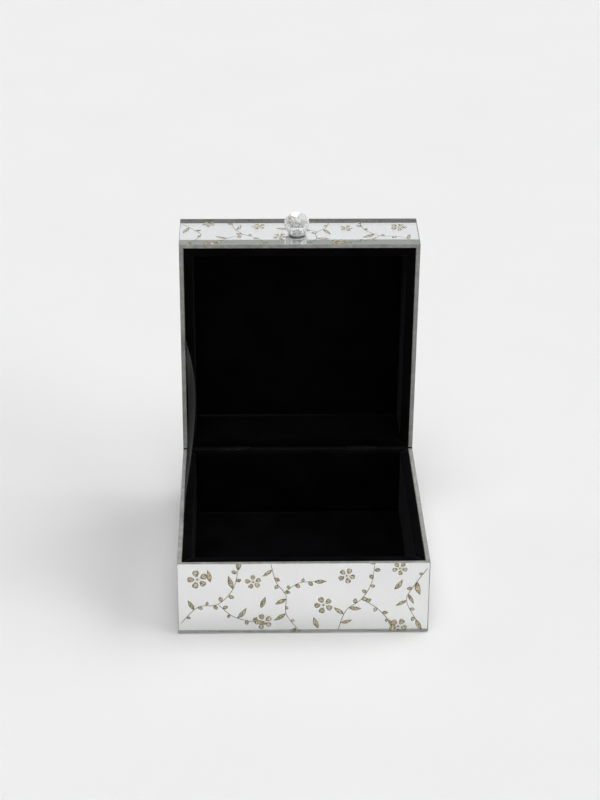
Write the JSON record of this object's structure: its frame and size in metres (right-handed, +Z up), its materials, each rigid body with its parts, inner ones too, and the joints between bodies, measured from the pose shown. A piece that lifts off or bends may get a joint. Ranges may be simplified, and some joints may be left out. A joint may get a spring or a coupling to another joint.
{
  "type": "mirrored trinket box",
  "caption": "Square mirror-glass trinket box with a hinged lid held open by a ribbon stay, velvet lining and a faceted clear knob.",
  "frame": {"origin": "middle of the base's footprint, on the surface that the box stands on", "axes": "+X to the right of someone facing the front, +Y back towards the hinges, +Z up; the lid is stored open"},
  "size_m": [0.15, 0.1857, 0.2091],
  "materials": {
    "mirror_glass": "silvered glass with a printed blossom pattern",
    "crystal": "polished facets",
    "board": "raw fibreboard",
    "bottom": "fibreboard stained black",
    "velvet": "short-pile black velvet",
    "cloth": "fine black cloth",
    "felt": "pressed black felt",
    "ribbon": "black satin",
    "hinge_metal": "black lacquered steel",
    "screw_metal": "zinc plated",
    "collar_metal": "polished",
    "gold_print": "gold glitter print",
    "clear_glass": "polished edges"
  },
  "bodies": {
    "base": {"felt_underside": "felt", "bottom_board": "bottom", "base_board_front": "board", "base_board_right": "board", "base_board_back": "board", "base_board_left": "board", "base_glass_front": "mirror_glass", "base_glass_right": "mirror_glass", "base_glass_left": "mirror_glass", "base_back_cloth": "cloth", "base_lining_front": "velvet", "base_lining_right": "velvet", "base_lining_back": "velvet", "base_lining_left": "velvet", "floor_pad": "velvet", "hinge_leaves_base": "hinge_metal", "hinge_screws_base": "screw_metal", "hinge_pins": "screw_metal", "ribbon_stay": "ribbon", "spine_cloth": "cloth"},
    "lid": {"lid_board_front": "board", "lid_board_right": "board", "lid_board_back": "board", "lid_board_left": "board", "lid_top_board": "board", "lid_glass_front": "mirror_glass", "lid_glass_right": "mirror_glass", "lid_glass_left": "mirror_glass", "lid_glass_top": "mirror_glass", "lid_back_cloth": "cloth", "lid_lining_front": "velvet", "lid_lining_right": "velvet", "lid_lining_back": "velvet", "lid_lining_left": "velvet", "lid_ceiling_lining": "velvet", "hinge_leaves_lid": "hinge_metal", "hinge_screws_lid": "screw_metal", "knob_crystal": "crystal", "knob_collar": "collar_metal", "knob_screw": "screw_metal", "knob_washer": "screw_metal"}
  },
  "joints": [
    {"name": "lid_hinge", "type": "hinge", "parent": "base", "child": "lid", "pos_m": [0, 0.07385, 0.0483], "axis": [-1, 0, 0], "range_deg": [-86.4, 0], "deforming": ["ribbon_stay", "spine_cloth"]}
  ]
}
